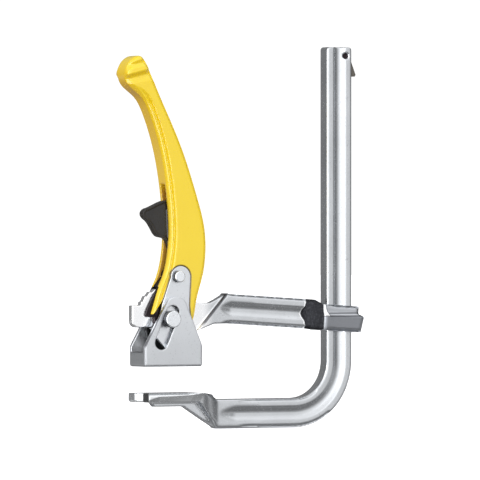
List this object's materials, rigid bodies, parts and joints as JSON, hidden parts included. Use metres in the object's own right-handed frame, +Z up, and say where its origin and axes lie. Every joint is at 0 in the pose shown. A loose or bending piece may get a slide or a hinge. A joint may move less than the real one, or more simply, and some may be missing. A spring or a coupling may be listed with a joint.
{
  "type": "quick release bar clamp",
  "caption": "Lever bar clamp with a grooved J-shaped rail and fixed jaw, sliding arm, cam lever with ratchet and release trigger, and a U-shaped pressure foot.",
  "frame": {"origin": "centre of the fixed jaw's flat clamping face", "axes": "+Z up along the rail and out of the fixed jaw's face, +X from the jaws towards the rail, +Y across the thickness, away from the side seen in the picture"},
  "size_m": [0.1813, 0.0292, 0.2525],
  "materials": {
    "plated_steel": "satin bright plating",
    "yellow_casting": "satin enamel",
    "black_steel": "black oxide",
    "latch_steel": "dull, brownish",
    "spring_steel": "drawn wire",
    "black_plastic": "matt moulded"
  },
  "bodies": {
    "rail": {"rail_bar": "plated_steel", "stop_latch_pin": "black_steel", "stop_latch_spring": "spring_steel"},
    "latch": {"stop_latch": "latch_steel"},
    "arm": {"sliding_arm": "plated_steel", "pivot_pin": "plated_steel", "pivot_pin_washer": "plated_steel"},
    "handle": {"lever_handle": "yellow_casting", "cam_plate_front": "plated_steel", "cam_plate_rear": "plated_steel", "liner_front": "black_steel", "liner_rear": "black_steel", "pawl_pin": "plated_steel", "pawl_pin_washer": "plated_steel", "pawl_spring": "spring_steel"},
    "trigger": {"ratchet_pawl": "black_steel", "release_trigger": "black_plastic", "trigger_rivet_upper": "black_steel", "trigger_rivet_lower": "black_steel"},
    "foot": {"pressure_foot": "plated_steel"}
  },
  "joints": [
    {"name": "arm_slide", "type": "slide", "parent": "rail", "child": "arm", "axis": [0, 0, 1], "range_m": [-0.0135, 0.15]},
    {"name": "handle_swing", "type": "hinge", "parent": "arm", "child": "handle", "pos_m": [-0.0024, 0, 0.0484], "axis": [0, -1, 0], "range_deg": [-25, 35]},
    {"name": "foot_slide", "type": "slide", "parent": "arm", "child": "foot", "axis": [0.4004, 0, 0.9164], "range_m": [-0.0039, 0.0054]},
    {"name": "trigger_pull", "type": "hinge", "parent": "handle", "child": "trigger", "pos_m": [0.00485, 0, 0.0762], "axis": [0, 1, 0], "range_deg": [0, 9], "stiffness_Nm_per_rad": 0.3, "springref_deg": -9.74, "deforming": ["pawl_spring"]},
    {"name": "latch_press", "type": "hinge", "parent": "rail", "child": "latch", "pos_m": [0.1348, 0, 0.2227], "axis": [0, 1, 0], "range_deg": [0, 20], "stiffness_Nm_per_rad": 0.05, "springref_deg": -9.74, "deforming": ["stop_latch_spring"]}
  ],
  "couplings": [
    {"joint": "foot_slide", "follows": "handle_swing", "m_per_rad": 0.00873}
  ]
}
